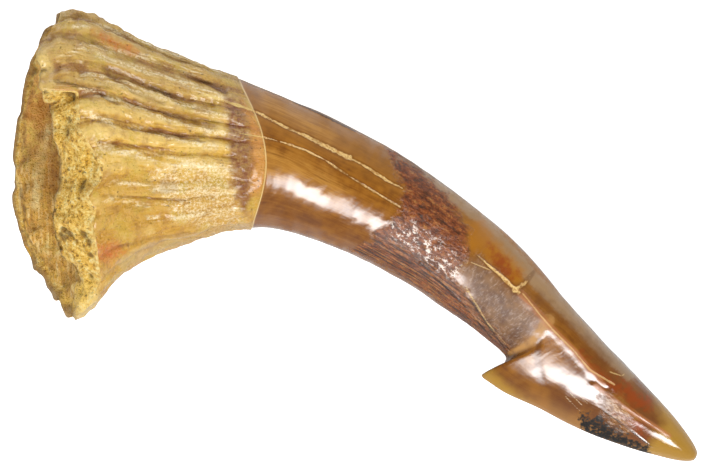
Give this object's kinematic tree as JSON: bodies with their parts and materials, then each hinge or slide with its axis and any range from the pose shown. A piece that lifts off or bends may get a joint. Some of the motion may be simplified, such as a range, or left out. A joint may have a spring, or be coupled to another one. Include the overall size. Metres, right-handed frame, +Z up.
{
  "type": "fossil sawfish rostral barb",
  "caption": "Curved fossil barb from a sawfish snout: glossy enamel spine with a backward spur near its tip, on a flared ribbed root with a hollow base, lying on its side.",
  "frame": {"origin": "middle of the bounding box, on the surface that the barb lies on", "axes": "+X along the length from the root towards the tip, +Y towards the convex edge, +Z up out of the broad face"},
  "size_m": [0.0482, 0.0316, 0.0122],
  "materials": {
    "fossil": "glossy amber-brown enamel on the spine, satin ochre on the ribbed root, crumbly yellow on the broken base"
  },
  "bodies": {
    "root": {"rostral_barb": "fossil"}
  },
  "joints": []
}
